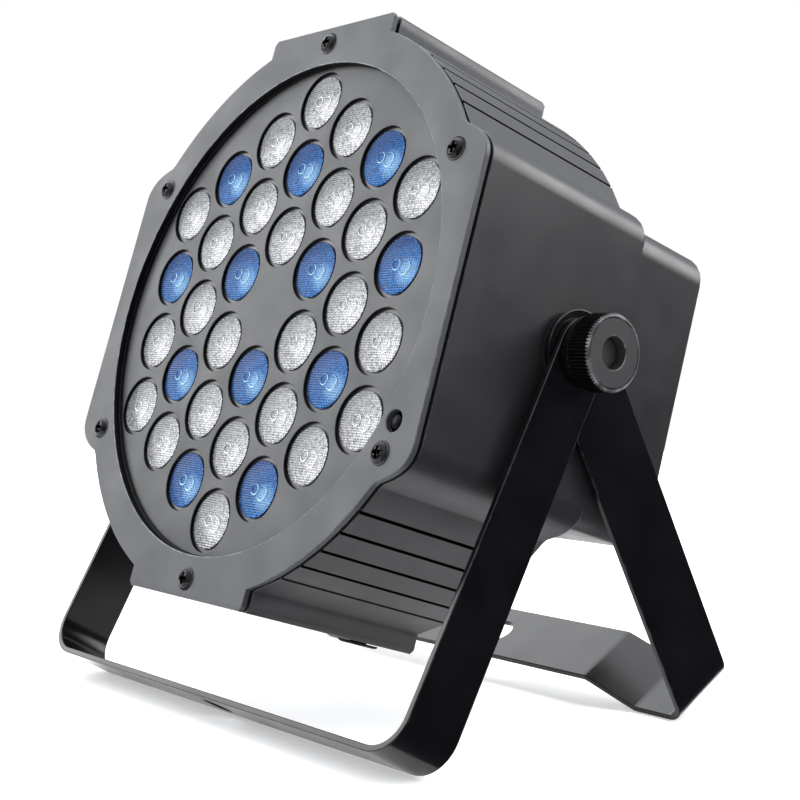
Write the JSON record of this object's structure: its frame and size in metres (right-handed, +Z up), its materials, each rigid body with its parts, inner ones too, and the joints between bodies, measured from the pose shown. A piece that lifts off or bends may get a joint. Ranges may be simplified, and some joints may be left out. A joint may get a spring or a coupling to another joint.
{
  "type": "par can light",
  "caption": "Flat LED par can: black housing with a round field of lens-covered LEDs, tilting on two folding U-shaped floor brackets clamped by side knobs.",
  "frame": {"origin": "on the floor, under the middle of the object's bounding box", "axes": "+Z up; -Y is the way the lamp faces; +X is the side with the remote sensor"},
  "size_m": [0.2302, 0.1578, 0.2371],
  "materials": {
    "shell": "satin black moulded plastic",
    "face": "fine satin charcoal",
    "rear_plate": "fine-textured black powder coat",
    "strap": "satin black powder coat",
    "knob": "matt black moulded plastic",
    "screw": "blackened steel",
    "steel": "zinc plated",
    "guard": "black coated wire",
    "rubber": "matt",
    "clear_lens": "clear moulded lens with a fine pebbled face",
    "blue_lens": "blue tinted moulded lens with a fine pebbled face",
    "board": "white solder mask",
    "circuit": "green solder mask",
    "sink": "plain",
    "window": "dark tinted",
    "socket": "semi-gloss black",
    "fan": "matt black"
  },
  "bodies": {
    "front_bracket": {"front_bracket": "strap"},
    "head": {"housing": "shell", "front_bezel": "face", "inner_panel": "face", "lens_array": "clear_lens", "led_board": "board", "heat_sink": "sink", "remote_sensor": "window", "base_plug": "rubber", "bezel_screw_1": "screw", "bezel_screw_2": "screw", "bezel_screw_3": "screw", "bezel_screw_4": "screw", "bezel_screw_5": "screw", "bezel_screw_6": "screw", "rear_panel": "rear_plate", "rear_screw_1": "screw", "rear_screw_2": "screw", "rear_screw_3": "screw", "rear_screw_4": "screw", "display_window": "window", "control_board": "circuit", "driver_board": "circuit", "fan_frame": "fan", "fan_guard": "guard", "dmx_in_socket": "socket", "dmx_out_socket": "socket", "power_inlet": "socket", "fuse_holder": "socket", "safety_eye": "steel", "pivot_nut_right": "steel", "friction_pad_right": "rubber", "pivot_nut_left": "steel", "friction_pad_left": "rubber"},
    "rear_bracket": {"rear_bracket": "strap"},
    "fan_rotor": {"fan_rotor": "fan"},
    "button_menu": {"button_menu": "rubber"},
    "button_down": {"button_down": "rubber"},
    "button_up": {"button_up": "rubber"},
    "button_enter": {"button_enter": "rubber"},
    "washer_right": {"knob_washer_right": "steel"},
    "knob_right": {"knob_right": "knob", "knob_stud_right": "steel"},
    "washer_left": {"knob_washer_left": "steel"},
    "knob_left": {"knob_left": "knob", "knob_stud_left": "steel"}
  },
  "joints": [
    {"name": "head_tilt", "type": "hinge", "parent": "front_bracket", "child": "head", "pos_m": [0, 0.00295, 0.1241], "axis": [-1, 0, 0], "range_deg": [-107.8, 72.2]},
    {"name": "rear_bracket_fold", "type": "hinge", "parent": "front_bracket", "child": "rear_bracket", "pos_m": [0, 0.00295, 0.1241], "axis": [1, 0, 0], "range_deg": [-46, 122]},
    {"name": "fan_spin", "type": "hinge", "parent": "head", "child": "fan_rotor", "pos_m": [0.058, 0.04607, 0.11446], "axis": [0, 0.9521, -0.3057], "continuous": true},
    {"name": "washer_right_slide", "type": "slide", "parent": "head", "child": "washer_right", "axis": [1, 0, 0], "range_m": [0, 0.0025]},
    {"name": "knob_right_turn", "type": "hinge", "parent": "washer_right", "child": "knob_right", "pos_m": [0.11, 0.00295, 0.1241], "axis": [1, 0, 0], "range_deg": [0, 720.5]},
    {"name": "washer_left_slide", "type": "slide", "parent": "head", "child": "washer_left", "axis": [-1, 0, 0], "range_m": [0, 0.0025]},
    {"name": "knob_left_turn", "type": "hinge", "parent": "washer_left", "child": "knob_left", "pos_m": [-0.11, 0.00295, 0.1241], "axis": [-1, 0, 0], "range_deg": [0, 720.5]},
    {"name": "button_menu_press", "type": "slide", "parent": "head", "child": "button_menu", "axis": [0, -0.9521, 0.3057], "range_m": [0, 0.001], "stiffness_N_per_m": 400},
    {"name": "button_down_press", "type": "slide", "parent": "head", "child": "button_down", "axis": [0, -0.9521, 0.3057], "range_m": [0, 0.001], "stiffness_N_per_m": 400},
    {"name": "button_up_press", "type": "slide", "parent": "head", "child": "button_up", "axis": [0, -0.9521, 0.3057], "range_m": [0, 0.001], "stiffness_N_per_m": 400},
    {"name": "button_enter_press", "type": "slide", "parent": "head", "child": "button_enter", "axis": [0, -0.9521, 0.3057], "range_m": [0, 0.001], "stiffness_N_per_m": 400}
  ],
  "couplings": [
    {"joint": "knob_right_turn", "follows": "washer_right_slide", "rad_per_m": 5026.5},
    {"joint": "knob_left_turn", "follows": "washer_left_slide", "rad_per_m": 5026.5}
  ]
}
